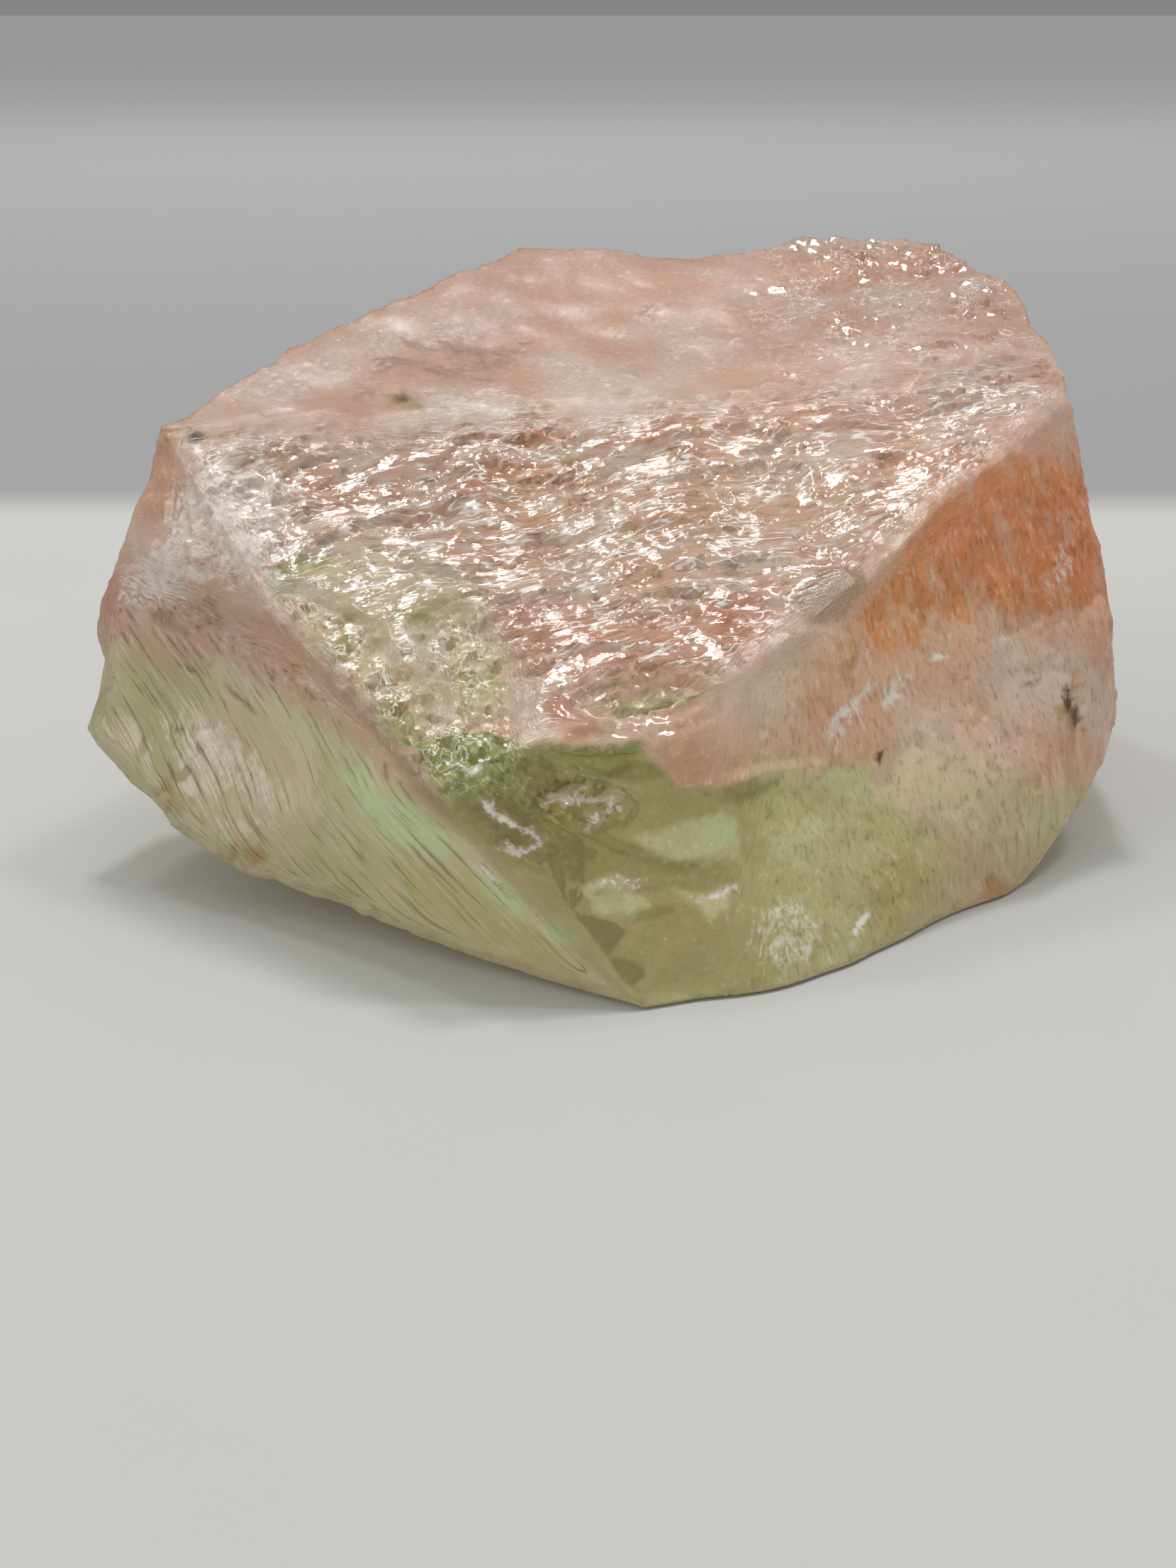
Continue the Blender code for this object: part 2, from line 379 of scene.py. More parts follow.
RIPPLE_CENTRE = (1010, 1215)
RIPPLE_MIDDLE = (1072, 1150)
BOWL = (905, 978)
LENS = (895, 980)
PLATEAU = (1152, 742)
LOOP_RIM = ((1078, 700), (1085, 672), (1110, 655), (1140, 662), (1150, 692), (1142, 722))
CALM_FACET = (1168, 842)
SPARKLE_ZONE = ((430, 870), (480, 900), (560, 1000), (600, 1080), (680, 1070), (690, 980), (640, 900))
LEFT_RIDGE = ((475, 1090), (640, 1290))

# Relief along the flow lines or grooves: length and width in millimetres, start, and height
SPLINTERS = ((5.0, 1.5, 1.7, 0.8), (2.4, 0.8, 9.2, 0.4))
CREST = (3.6, 1.1, 6.4, 0.16)
GROOVE = (12.0, 0.9, 2.0, 0.12)
# The size, start and height of the slope's small curls
CURL = (1.5, 8.4, 0.12)
# How much of the relief is left where the stone is calm
QUIET_SLOPE = 0.25
QUIET_REST = 0.35

# Steps along a line: height, width of the rise and width of the fall in millimetres
LEDGE_STEP = (0.42, 0.6, 1.6)
WINDOW_LEDGE_STEP = (0.5, 0.5, 4.0)
WINDOW_STEP = (0.3, 0.5, 1.5)
BRIGHT_STEP = (-0.2, 0.4, 0.7)
# Lips along a line: height and width in millimetres
EDGE_LIP = (0.28, 0.35)
LOOP_LIP = (0.35, 0.3)
# How lines fade out: the part at each end where they don't, and how suddenly
LINE_FADE = (0.02, 0.5)
STREAK_FADE = (0.03, 0.4)

# The bowl and the lens in it: half width and half height in millimetres, and turn in degrees
BOWL_SIZE = (6.0, 2.6, 4.0)
BOWL_EDGE = (-0.05, 0.25)
BOWL_DEPTH = 1.3
BOWL_SMOOTHING = 0.92
BOWL_RIPPLE = 0.13
BOWL_RIPPLE_RATE = 26.0
LENS_SIZE = (3.4, 0.75, 5.0)
LENS_HEIGHT = 0.6

# The window: its swell, its chip, the ripples and the rubble at its right end
WINDOW_SWELL = ((6.0, 13.0, 0.16),)
WINDOW_CALM = 0.7
CHIP_SIZE = (2.7, 1.15, -12.0)
CHIP_EDGE = ((0.8, 14.0, 0.1),)
CHIP_SHARDS = ((1.1, 15.0, 1.2),)
CHIP_DEPTH = 0.55
CHIP_RIM = (0.3, 0.14)
RIPPLE_HEIGHT = 0.12
RIPPLE_RATE = 8.5
RIPPLE_REACH = 1.7
RUBBLE_RANGE = (7.0, 10.0)
RUBBLE_EDGE = ((2.0, 16.0, 1.5),)
RUBBLE = ((1.6, 17.0, 0.9), (0.8, 18.0, 0.4))
RUBBLE_HEIGHT = 0.6

# The smooth facets in the slope, their level above it, and their lean forward as a rise over a run
CALM_PATCHES = ((PLATEAU, (2.4, 1.7, -8.0)), (CALM_FACET, (2.6, 2.2, 25.0)))
CALM_EDGE = ((1.2, 12.0, 0.12),)
CALM_LEVEL = 0.12
FACET_LEAN = 0.12

# The broken zone along the slope's lower left edge, with the range of distances where it ends
SPARKLE_RANGE = (1.4, 2.8)
SPARKLE_EDGE = ((1.5, 3.3, 0.6),)
SPARKLE_SHARDS = ((1.3, 5.5, 0.95), (0.8, 6.6, 0.45))
SPARKLE_FLATTENING = 0.6

# The relief of the other faces; a range is where it sets in from left to right, in millimetres
SHOULDER_RANGE = (6.0, 14.0)
SHOULDER_EDGE = ((5.0, 19.0, 2.5),)
TOP_CALM = 0.85
SIDES_CALM = 0.75
LUMPS = ((3.0, 2.2, 0.22),)
SHARDS = ((1.8, 2.5, 0.6), (0.8, 4.5, 0.35))
FURROW_RATE = (0.9, 0.9, 0.12)
FURROW_START = 29.0
FURROW_DETAIL = ((0.8, 30.0, 0.4),)
FURROW_HEIGHT = 0.22
CORNER_BLUR = (22.0, 24.0)
CORNER_SHARDS = ((1.3, 34.0, 0.7), (0.8, 35.0, 0.3))
LEFT_SWELL = ((4.0, 5.2, 0.25),)
LEFT_CHIPS = ((2.4, 8.5, 0.3),)
LEFT_CHIPS_RANGE = (-8.0, -16.0)


def flow_lines(surface):
    """Coordinates along and across the slope's flow lines, in millimetres."""
    across, up = surface.along("slope", FLOW_CENTRE)
    bend = FLOW_RISE * across - FLOW_CURL * np.minimum(across - CURL_START, 0.0) ** 2
    return across, up - bend + surface.waves(FLOW_WANDER)


def ridges(values):
    """Turns smooth noise into sharp crests of height 1 where it crosses 0."""
    return 1.0 - 2.0 * np.abs(values)


def fading(share, fade):
    """1 along a line and less towards its ends."""
    margin, power = fade
    return np.sin(math.pi * np.clip(share, margin, 1.0 - margin)) ** power


def roughen_slope(surface):
    along, across = surface.flow
    lift = np.zeros_like(along)
    for length, width, start, height in SPLINTERS:
        lift += height * chips(drawn_out(along, across, length, width), start)
    length, width, start, height = CREST
    lift += height * ridges(perlin(drawn_out(along, across, length, width), start))
    size, start, height = CURL
    lift += height * ridges(perlin(surface.points / size, start))
    strength = QUIET_SLOPE + (1.0 - QUIET_SLOPE) * surface.patch
    surface.height += surface.on("slope") * strength * lift


def raise_step(surface, pixels, step, face):
    """A step along a line: it rises over its width, and falls away again on its upper side."""
    height, width, fall = step
    _, turn, tilt = FACES[face]
    distance, share, side = surface.distance_to(pixels, facing(turn, tilt))
    distance = distance * side + surface.waves(STEP_WANDER)
    lift = smooth_step(-0.5 * width, 0.5 * width, distance) * np.exp(-np.maximum(distance, 0.0) / fall)
    surface.height += height * fading(share, LINE_FADE) * lift


def raise_lip(surface, pixels, lip):
    """A low rounded ridge along a line."""
    height, width = lip
    distance, share, _ = surface.distance_to(pixels)
    distance = distance + surface.waves(LIP_WANDER)
    surface.height += height * fading(share, LINE_FADE) * np.exp(-(distance / width) ** 2)


def raise_ledges(surface):
    for line in LEDGE_LINES:
        raise_step(surface, line, LEDGE_STEP, "slope")
    for line in EDGE_LIPS:
        raise_lip(surface, line, EDGE_LIP)


def cut_bowl(surface):
    """The rippled bowl at the slope's foot, with a raised lens in it."""
    bowl = oval(*surface.along("slope", surface.spot(BOWL)), *BOWL_SIZE)
    calm = smooth_step(*BOWL_EDGE, bowl)
    ripples = np.sin(np.maximum(bowl, 0.0) * BOWL_RIPPLE_RATE) * smooth_step(0.0, 0.2, bowl)
    surface.height *= 1.0 - BOWL_SMOOTHING * calm
    surface.height += BOWL_RIPPLE * ripples - BOWL_DEPTH * smooth_step(0.0, 0.9, bowl)
    lens = oval(*surface.along("slope", surface.spot(LENS)), *LENS_SIZE)
    surface.height += LENS_HEIGHT * smooth_step(0.0, 0.5, lens)
    surface.calm = np.maximum(surface.calm, 0.9 * calm)


def shape_window(surface):
    """The clear face's ledges, its chip, and the ripples and rubble at its right end."""
    share = surface.on("window")
    before = surface.height.copy()
    surface.height += surface.waves(WINDOW_SWELL)
    raise_step(surface, WINDOW_LEDGE, WINDOW_LEDGE_STEP, "window")
    for line in WINDOW_STEPS:
        raise_step(surface, line, WINDOW_STEP, "window")
    chip = oval(*surface.along("window", surface.spot(CHIP)), *CHIP_SIZE)
    chip += surface.waves(CHIP_EDGE)
    surface.chip = share * smooth_step(-0.1, 0.1, chip)
    shards = surface.chipped(CHIP_SHARDS) - CHIP_DEPTH
    rim_height, rim_width = CHIP_RIM
    surface.height += smooth_step(0.0, 0.35, chip) * shards + rim_height * np.exp(-(chip / rim_width) ** 2)
    distance = np.linalg.norm(surface.points - surface.spot(RIPPLE_CENTRE), axis=1)
    off_middle = np.linalg.norm(surface.points - surface.spot(RIPPLE_MIDDLE), axis=1)
    near = np.exp(-(off_middle / RIPPLE_REACH) ** 2)
    surface.height += RIPPLE_HEIGHT * np.sin(distance * RIPPLE_RATE) * near
    for line in BRIGHT_LEDGES["window"]:
        raise_step(surface, line, BRIGHT_STEP, "window")
    across = surface.points[:, 0] + surface.waves(RUBBLE_EDGE)
    right_part = smooth_step(*RUBBLE_RANGE, across)
    surface.height += right_part * surface.chipped(RUBBLE) * RUBBLE_HEIGHT
    surface.height = before + share * (surface.height - before)
    surface.calm = np.maximum(surface.calm, WINDOW_CALM * share * (1.0 - right_part))


def flatten_plateau(surface):
    """The two smooth facets in the slope, and the looped rim beside the upper one."""
    for pixel, size in CALM_PATCHES:
        across, up = surface.along("slope", surface.spot(pixel))
        part = oval(across, up, *size) + surface.waves(CALM_EDGE)
        calm = smooth_step(0.0, 0.15, part)
        surface.height += calm * (CALM_LEVEL + FACET_LEAN * up - surface.height)
        surface.calm = np.maximum(surface.calm, calm)
    raise_lip(surface, LOOP_RIM, LOOP_LIP)


def break_sparkle_zone(surface):
    distance, _, _ = surface.distance_to(SPARKLE_ZONE)
    distance = distance + surface.waves(SPARKLE_EDGE)
    zone = (1.0 - smooth_step(*SPARKLE_RANGE, distance)) * surface.on("slope", "window")
    shards = surface.chipped(SPARKLE_SHARDS)
    surface.height += zone * (shards - surface.height * SPARKLE_FLATTENING)
    surface.sparkle = zone


def roughen_rest(surface):
    """Chipped relief on the faces that have no flow lines: strong on the top's right shoulder, low on
    the rest of the top, and drawn out upright on the right."""
    top = surface.on("top")
    sides = surface.on("right", "right_low")
    across = surface.points[:, 0] + surface.waves(SHOULDER_EDGE)
    shoulder = smooth_step(*SHOULDER_RANGE, across)
    surface.shoulder = top * shoulder
    strength = (1.0 - top * (1.0 - shoulder) * TOP_CALM) * (1.0 - SIDES_CALM * sides)
    strength *= QUIET_REST + (1.0 - QUIET_REST) * surface.patch
    share = 1.0 - surface.on("slope", "window", "base", "left", "left_low")
    shards = surface.chipped(SHARDS) * strength
    surface.height += share * (surface.waves(LUMPS) + shards)
    furrows = perlin(surface.points * FURROW_RATE, FURROW_START) + surface.waves(FURROW_DETAIL)
    surface.height += sides * FURROW_HEIGHT * furrows
    for line in BRIGHT_LEDGES["right"]:
        raise_step(surface, line, BRIGHT_STEP, "right")
    surface.corner = region(surface, FROSTED_CORNER, *CORNER_BLUR)
    surface.height += surface.corner * surface.chipped(CORNER_SHARDS)


def groove_left(surface):
    """Fine grooves that run down the left faces, level with the ridge beside them."""
    start, end = [surface.spot(pixel) for pixel in LEFT_RIDGE]
    way = (end - start) / np.linalg.norm(end - start)
    _, turn, tilt = FACES["left"]
    along, across = surface.points @ way, surface.points @ np.cross(facing(turn, tilt), way)
    surface.scratch = (along, across)
    length, width, begin, height = GROOVE
    lines = height * perlin(drawn_out(along, across, length, width), begin)
    lines += surface.waves(LEFT_SWELL)
    chipped = smooth_step(*LEFT_CHIPS_RANGE, surface.points[:, 0])
    relief = lines + surface.chipped(LEFT_CHIPS) * chipped
    surface.height += surface.on("left", "left_low") * relief


def patch_at(surface, spots, ragged=0.35):
    """1 inside any of the ragged spots, 0 outside; a spot is a pixel and two half widths in mm."""
    mask = np.zeros(len(surface.points))
    right = np.array((1.0, 0.0, 0.0))
    up = np.array((0.0, math.sin(CAMERA_PITCH), math.cos(CAMERA_PITCH)))
    edge = surface.waves(SPOT_EDGE) * ragged
    for pixel, half_width, half_height in spots:
        offset = surface.points - surface.spot(pixel)
        near = np.linalg.norm(offset, axis=1) < 3.0 * max(half_width, half_height)
        part = 1.0 - np.hypot(offset @ right / half_width, offset @ up / half_height)
        mask = np.maximum(mask, near * smooth_step(-0.15, 0.25, part + edge))
    return mask


def streak_at(surface, lines, width):
    """1 on any of the lines of pixels, fading out at their ends, and 0 elsewhere; the width is in mm."""
    mask = np.zeros(len(surface.points))
    edge = surface.waves(STREAK_EDGE)
    for line in lines:
        distance, share, _ = surface.distance_to(line)
        streak = 1.0 - smooth_step(0.3, 1.0, distance / width + edge)
        mask = np.maximum(mask, fading(share, STREAK_FADE) * streak)
    return mask


# The outlines of the stone's coloured patches, as closed lines of the photograph's pixels
FROSTED_CORNER = (
    (280, 645), (350, 640), (420, 680), (420, 730), (405, 755), (380, 825), (320, 820), (275, 830),
    (220, 860), (160, 845), (190, 795), (235, 750), (250, 690),
)
WHITE_VEILS = (
    ((228, 1008), (310, 1015), (350, 1060), (400, 1120), (380, 1140), (300, 1110), (250, 1060)),
    ((300, 1155), (345, 1150), (378, 1172), (340, 1182)),
    ((1478, 770), (1510, 778), (1508, 822), (1485, 820)),
    ((1070, 1285), (1115, 1270), (1160, 1300), (1150, 1350), (1100, 1372), (1072, 1340)),
    ((1178, 728), (1210, 722), (1245, 735), (1215, 765), (1200, 760)),
    ((1165, 1035), (1200, 985), (1232, 965), (1222, 1005), (1185, 1050)),
    ((1245, 1000), (1262, 955), (1278, 960), (1262, 1002)),
    ((600, 560), (680, 548), (780, 556), (770, 590), (640, 592)),
)
PINK_BAND = (
    (215, 865), (275, 845), (320, 850), (380, 865), (430, 905), (490, 960), (550, 1030), (612, 1105),
    (640, 1160), (600, 1135), (550, 1100), (490, 1052), (430, 1010), (370, 965), (310, 925), (255, 925),
)
BEIGE_SLOPE = (
    (385, 815), (420, 785), (520, 770), (640, 800), (700, 860), (735, 930), (700, 1010), (640, 1040),
    (590, 1060), (520, 1000), (440, 910),
)
ORANGE_SIDE = (
    (1411, 640), (1461, 645), (1540, 652), (1560, 736), (1560, 830), (1533, 852), (1422, 874), (1389, 852),
    (1356, 880), (1311, 863), (1289, 908), (1250, 922), (1205, 890), (1233, 824), (1311, 719), (1356, 686),
)
OLIVE_PATCHES = (
    ((375, 835), (392, 800), (440, 785), (480, 782), (432, 818), (395, 845)),
    ((450, 900), (490, 895), (505, 925), (465, 935)),
    ((548, 862), (600, 855), (622, 880), (570, 892)),
    ((640, 960), (700, 945), (722, 975), (660, 990)),
    ((520, 1000), (560, 985), (600, 1010), (570, 1050), (535, 1035)),
    ((845, 984), (890, 968), (950, 960), (1000, 968), (985, 990), (900, 998)),
    ((300, 1195), (345, 1190), (360, 1215), (330, 1225)),
)
GREEN_CORNER = (
    (570, 1045), (680, 1030), (745, 1052), (800, 1056), (860, 1054), (905, 1046), (880, 1095), (820, 1108),
    (768, 1132), (764, 1182), (712, 1197), (680, 1160), (625, 1115),
)
UNDER_LEDGE = (
    (768, 1150), (820, 1172), (885, 1203), (940, 1225), (1000, 1228), (1045, 1212), (1040, 1262),
    (960, 1255), (860, 1235), (800, 1260), (770, 1230),
)
# A facet painted paler green: painted reflection of light off a facet inside the window
GREEN_REFLECTING_FACET = ((880, 1182), (930, 1170), (995, 1150), (1041, 1152), (1043, 1210), (995, 1222), (940, 1217))
GREEN_WEDGE = ((1024, 1112), (1060, 1098), (1095, 1100), (1070, 1122), (1045, 1145))
# Painted reflections: bright pale green patches where light reflects off facets inside the window
PAINTED_GREEN_REFLECTIONS = (
    ((480, 1095), (510, 1080), (540, 1118), (590, 1145), (645, 1200), (610, 1212), (560, 1185),
     (520, 1145)),
    ((545, 1130), (580, 1138), (604, 1175), (575, 1180)),
    ((660, 1218), (690, 1225), (740, 1268), (735, 1300), (700, 1275)),
    ((755, 1290), (790, 1295), (822, 1338), (780, 1325)),
    ((955, 1162), (1038, 1156), (1038, 1182), (990, 1190)),
)
# Paler patches in the window; the first is a painted reflection of light off a facet inside
PALE_WINDOW_PATCHES = (
    ((1160, 1085), (1230, 1078), (1235, 1120), (1180, 1125)),
    ((1075, 1180), (1150, 1150), (1175, 1165), (1120, 1230)),
    ((815, 1248), (860, 1235), (925, 1275), (890, 1295), (840, 1290)),
    ((960, 1262), (1010, 1255), (1045, 1270), (1000, 1295)),
)
GREEN_FOOT = (
    ((1045, 1110), (1120, 1100), (1240, 1130), (1330, 1190), (1330, 1260), (1250, 1330), (1100, 1390),
     (1030, 1400), (1030, 1230)),
    ((560, 1225), (640, 1215), (720, 1270), (840, 1400), (700, 1340), (600, 1285)),
)
OLIVE_FOOT = (
    (1250, 1190), (1340, 1180), (1480, 1185), (1470, 1250), (1400, 1290), (1240, 1330), (1220, 1260),
)
RED_PATCHES = (
    ((625, 695), (690, 665), (760, 655), (770, 672), (700, 690), (640, 705)),
    ((640, 620), (760, 612), (830, 616), (700, 632)),
    ((760, 990), (800, 985), (850, 1020), (870, 1042), (790, 1048)),
    ((985, 850), (1080, 840), (1100, 880), (1010, 900)),
    ((1172, 895), (1186, 905), (1200, 945), (1215, 968), (1195, 960)),
)
DEEP_PINK_FOOT = ((700, 850), (850, 860), (1000, 862), (1090, 900), (1010, 950), (760, 950), (690, 905))
GREY_FACET = ((1120, 850), (1150, 805), (1215, 800), (1220, 830), (1190, 872), (1140, 885))
# The lower edge of the pink on the front, from left to right
PINK_EDGE = (
    (560, 1040), (680, 1035), (745, 1050), (800, 1055), (860, 1052), (905, 1060), (960, 1115), (1022, 1112),
    (1060, 1096), (1110, 1086), (1165, 1080), (1235, 1072), (1330, 1080), (1420, 1090), (1560, 1110),
)
# Spots: the pixel of the middle, and half width and half height in millimetres
IRON_SPOTS = (
    ((274, 617), 0.65, 0.4), ((566, 560), 0.5, 0.35), ((550, 962), 0.35, 0.15), ((1506, 985), 0.35, 0.9),
    ((1519, 1012), 0.4, 0.7), ((1238, 1068), 0.25, 0.4), ((605, 680), 0.5, 0.2),
)
IRON_HALOS = (
    ((264, 620), 1.5, 0.65), ((570, 562), 1.3, 0.8), ((755, 580), 1.0, 0.5), ((1512, 1000), 1.0, 2.2),
    ((1200, 925), 0.4, 1.6),
)
BROWN_CLOUDS = (
    ((640, 505), 4.5, 2.0), ((545, 545), 3.0, 1.2), ((930, 440), 3.0, 0.8), ((265, 872), 2.4, 1.1),
)
OCHRE_STAINS = (((240, 1125), 0.9, 1.3), ((345, 1200), 1.2, 0.8), ((1400, 1255), 2.0, 1.0))
# The pixels that close the outline of what lies below the pink
BELOW_EDGE = ((1600, 1500), (450, 1500))
CRACKS = (
    ((225, 905), (252, 936), (280, 950), (298, 933)),
    ((232, 1022), (262, 1030), (300, 1024)),
    ((310, 962), (345, 990), (360, 1004)),
    ((1440, 968), (1470, 960)),
    ((1500, 970), (1506, 1000), (1512, 1040)),
    ((1512, 975), (1522, 1005), (1518, 1030)),
)


def region(surface, corners, blur=5.0, ragged=7.0):
    """1 inside a closed line of the photograph's pixels and 0 outside, with a ragged edge."""
    corners = np.array(corners, dtype=float)
    across, down = surface.pixels.T
    inside = np.zeros(len(across), dtype=bool)
    nearest = np.full(len(across), FAR_AWAY)
    for start, end in zip(corners, np.roll(corners, -1, axis=0)):
        run = end - start
        part = np.clip((surface.pixels - start) @ run / (run @ run), 0.0, 1.0)
        nearest = np.minimum(nearest, np.linalg.norm(surface.pixels - start - part[:, None] * run, axis=1))
        if run[1]:
            crossing = start[0] + (down - start[1]) * run[0] / run[1]
            inside ^= ((start[1] > down) != (end[1] > down)) & (across < crossing)
    depth = np.where(inside, nearest, -nearest) + ragged * surface.ragged
    return surface.seen * smooth_step(-blur, blur, depth)


def regions(surface, outlines, blur=5.0, ragged=7.0):
    return np.max([region(surface, corners, blur, ragged) for corners in outlines], axis=0)


def colour(red, green, blue):
    """A colour as it looks on a screen, from 0 to 255, as the linear colour that shaders take."""
    linear = [((part / 255.0 + 0.055) / 1.055) ** 2.4 for part in (red, green, blue)]
    return (*linear, 1.0)


SALMON = colour(240, 186, 158)
ROSE = colour(250, 218, 202)
AMBER = colour(246, 150, 92)
APRICOT = colour(240, 180, 142)
OLIVE = colour(190, 202, 120)
KHAKI = colour(196, 196, 134)
DEEP_OLIVE = colour(140, 158, 82)
MOSS = colour(208, 214, 142)
# A pale green for the painted reflections in the window
APPLE_REFLECTION = colour(226, 255, 196)
LEAF = colour(232, 244, 184)
BEIGE = colour(244, 232, 194)
SAGE = colour(222, 226, 174)
MILK = colour(252, 248, 242)
IVORY = colour(255, 236, 222)
RUST = colour(96, 52, 20)
OCHRE = colour(200, 152, 86)
TAN = colour(226, 178, 150)
BROWN = colour(184, 140, 110)
GREIGE = colour(190, 152, 128)
RED_BROWN = colour(216, 128, 92)

# Painted shade and light: how much darker the top and the slope and how much lighter the right side are
# painted than their colours, standing in for how the light falls on these main faces
PAINTED_TOP_SHADE = 0.12
PAINTED_SLOPE_SHADE = 0.1
PAINTED_SIDE_LIGHT = 0.14

# Patches painted in this order: outlines, colour, share, and the blur and raggedness in pixels
PAINTED_PATCHES = (
    ((PINK_BAND,), TAN, 0.7, 10.0, 10.0),
    (OLIVE_PATCHES, KHAKI, 0.8, 6.0, 14.0),
    (GREEN_FOOT, MOSS, 0.75, 24.0, 20.0),
    ((GREEN_CORNER, UNDER_LEDGE), OLIVE, 0.9, 5.0, 5.0),
    ((GREEN_CORNER, GREEN_WEDGE), DEEP_OLIVE, 0.6, 5.0, 8.0),
    ((OLIVE_FOOT,), OCHRE, 0.3, 16.0, 14.0),
    # The green facet, the bright green patches and the first paler window patch are painted reflections
    ((GREEN_REFLECTING_FACET,), LEAF, 0.95, 3.0, 3.0),
    (PAINTED_GREEN_REFLECTIONS, APPLE_REFLECTION, 0.95, 9.0, 9.0),
    (PALE_WINDOW_PATCHES, LEAF, 0.9, 6.0, 14.0),
    (RED_PATCHES, RED_BROWN, 0.65, 10.0, 16.0),
    ((DEEP_PINK_FOOT,), RED_BROWN, 0.5, 24.0, 30.0),
    ((GREY_FACET,), GREIGE, 0.9, 6.0, 5.0),
)
# Blur and raggedness in pixels of the larger outlines
PINK_EDGE_BLUR = (4.0, 4.0)
BEIGE_BLUR = (30.0, 24.0)
ORANGE_BLUR = (14.0, 12.0)
VEIL_BLUR = (18.0, 18.0)

# The colour border behind, where the photograph doesn't show it: its height in millimetres at the
# left, its fall to the right, and its waves
BORDER_HEIGHT = 13.2
BORDER_FALL = 0.26
BORDER_WAVE = 1.3

# Streaks of colour: along and across the flow lines, or upright
FLOW_STREAKS = ((6.0, 1.1, 25.0, 1.0), (3.0, 0.45, 26.0, 0.7))
UPRIGHT_STREAKS = (((1.0, 1.0, 0.16), 27.0, 1.0), ((2.4, 2.4, 0.4), 28.0, 0.5))

# Widths in millimetres of the painted highlight lines and the cracks
LEDGE_WIDTH = 0.3
RIM_WIDTH = 0.2
CRACK_WIDTH = 0.22


def painted(below, share, paint):
    """Colours with a share of paint laid over them."""
    return below + (np.array(paint) - below) * np.clip(share, 0.0, 1.0)[:, None]


def ground_colours(surface, cloud):
    """The colours of the stone itself: pink above, beige and green below, and amber at the right."""
    x, _, z = surface.points.T
    streak = sum(weight * perlin(drawn_out(*surface.flow, length, width), start)
                 for length, width, start, weight in FLOW_STREAKS)
    upright = sum(weight * perlin(surface.points * rate, start) for rate, start, weight in UPRIGHT_STREAKS)
    slope = surface.on("slope")
    sides = surface.on("right", "right_low", "right_end")
    border = BORDER_HEIGHT - BORDER_FALL * np.maximum(x + 4.0, 0.0) + BORDER_WAVE * cloud
    low = 1.0 - smooth_step(-1.2, 2.2, z - border)
    front_low = region(surface, PINK_EDGE + BELOW_EDGE, *PINK_EDGE_BLUR)
    front = surface.on("window") * surface.seen
    low += (front_low - low) * front
    window = front * front_low
    surface.clear = window * (1.0 - smooth_step(7.0, 11.0, x)) * (1.0 - surface.sparkle)
    # The painted reflections and the paler window patches are less clear, so their paint shows
    surface.clear *= 1.0 - 0.6 * regions(surface, (GREEN_REFLECTING_FACET,) + PALE_WINDOW_PATCHES)
    pale = painted(np.array(SAGE)[None, :], smooth_step(-0.3, 0.3, cloud), BEIGE)
    pale = painted(pale, 0.5 * sides * smooth_step(0.0, 0.5, upright) * smooth_step(2.0, 8.0, z), ROSE)
    amber = sides * (1.0 - surface.seen) * smooth_step(12.5, 18.0, z + 1.5 * upright)
    amber = np.maximum(amber, region(surface, ORANGE_SIDE, *ORANGE_BLUR))

    tint = painted(np.array(SALMON)[None, :], smooth_step(-0.5, 0.5, cloud), ROSE)
    tint = painted(tint, 0.45 * slope * smooth_step(0.1, 0.5, streak), IVORY)
    tint = painted(tint, 0.5 * slope * smooth_step(0.1, 0.5, -streak), APRICOT)
    tint = painted(tint, 0.75 * region(surface, BEIGE_SLOPE, *BEIGE_BLUR), BEIGE)
    tint = painted(tint, low * (1.0 - slope), pale)
    tint = painted(tint, 0.9 * amber, APRICOT)
    tint = painted(tint, amber * smooth_step(-0.45, 0.25, upright + 0.15), AMBER)
    tint = painted(tint, window, MOSS)
    for outlines, paint, share, blur, ragged in PAINTED_PATCHES:
        tint = painted(tint, share * regions(surface, outlines, blur, ragged), paint)
    return tint


def painted_glint_lines(surface):
    """Painted highlights: 1 on the small ledges that catch the light, less on the slope's rims, and 0
    elsewhere.
    """
    ledges = [line for lines in BRIGHT_LEDGES.values() for line in lines]
    rims = LEDGE_LINES + EDGE_LIPS[:2] + PAINTED_GLINT_RIMS
    on_rims = 0.5 * surface.on("slope") * streak_at(surface, rims, RIM_WIDTH)
    return np.maximum(on_rims, streak_at(surface, ledges, LEDGE_WIDTH))


def stain_stone(surface, tint, mottle, rust):
    """Brown clouds, ochre stains, and rust in spots and cracks."""
    brown = patch_at(surface, BROWN_CLOUDS, 0.7) * smooth_step(-0.3, 0.3, mottle)
    tint = painted(tint, 0.7 * brown, BROWN)
    stain = np.maximum(patch_at(surface, IRON_HALOS, 0.6), 0.7 * patch_at(surface, OCHRE_STAINS, 0.6))
    tint = painted(tint, stain * smooth_step(-0.5, 0.3, mottle), OCHRE)
    return painted(tint, np.maximum(rust, 0.7 * streak_at(surface, CRACKS, CRACK_WIDTH)), RUST)


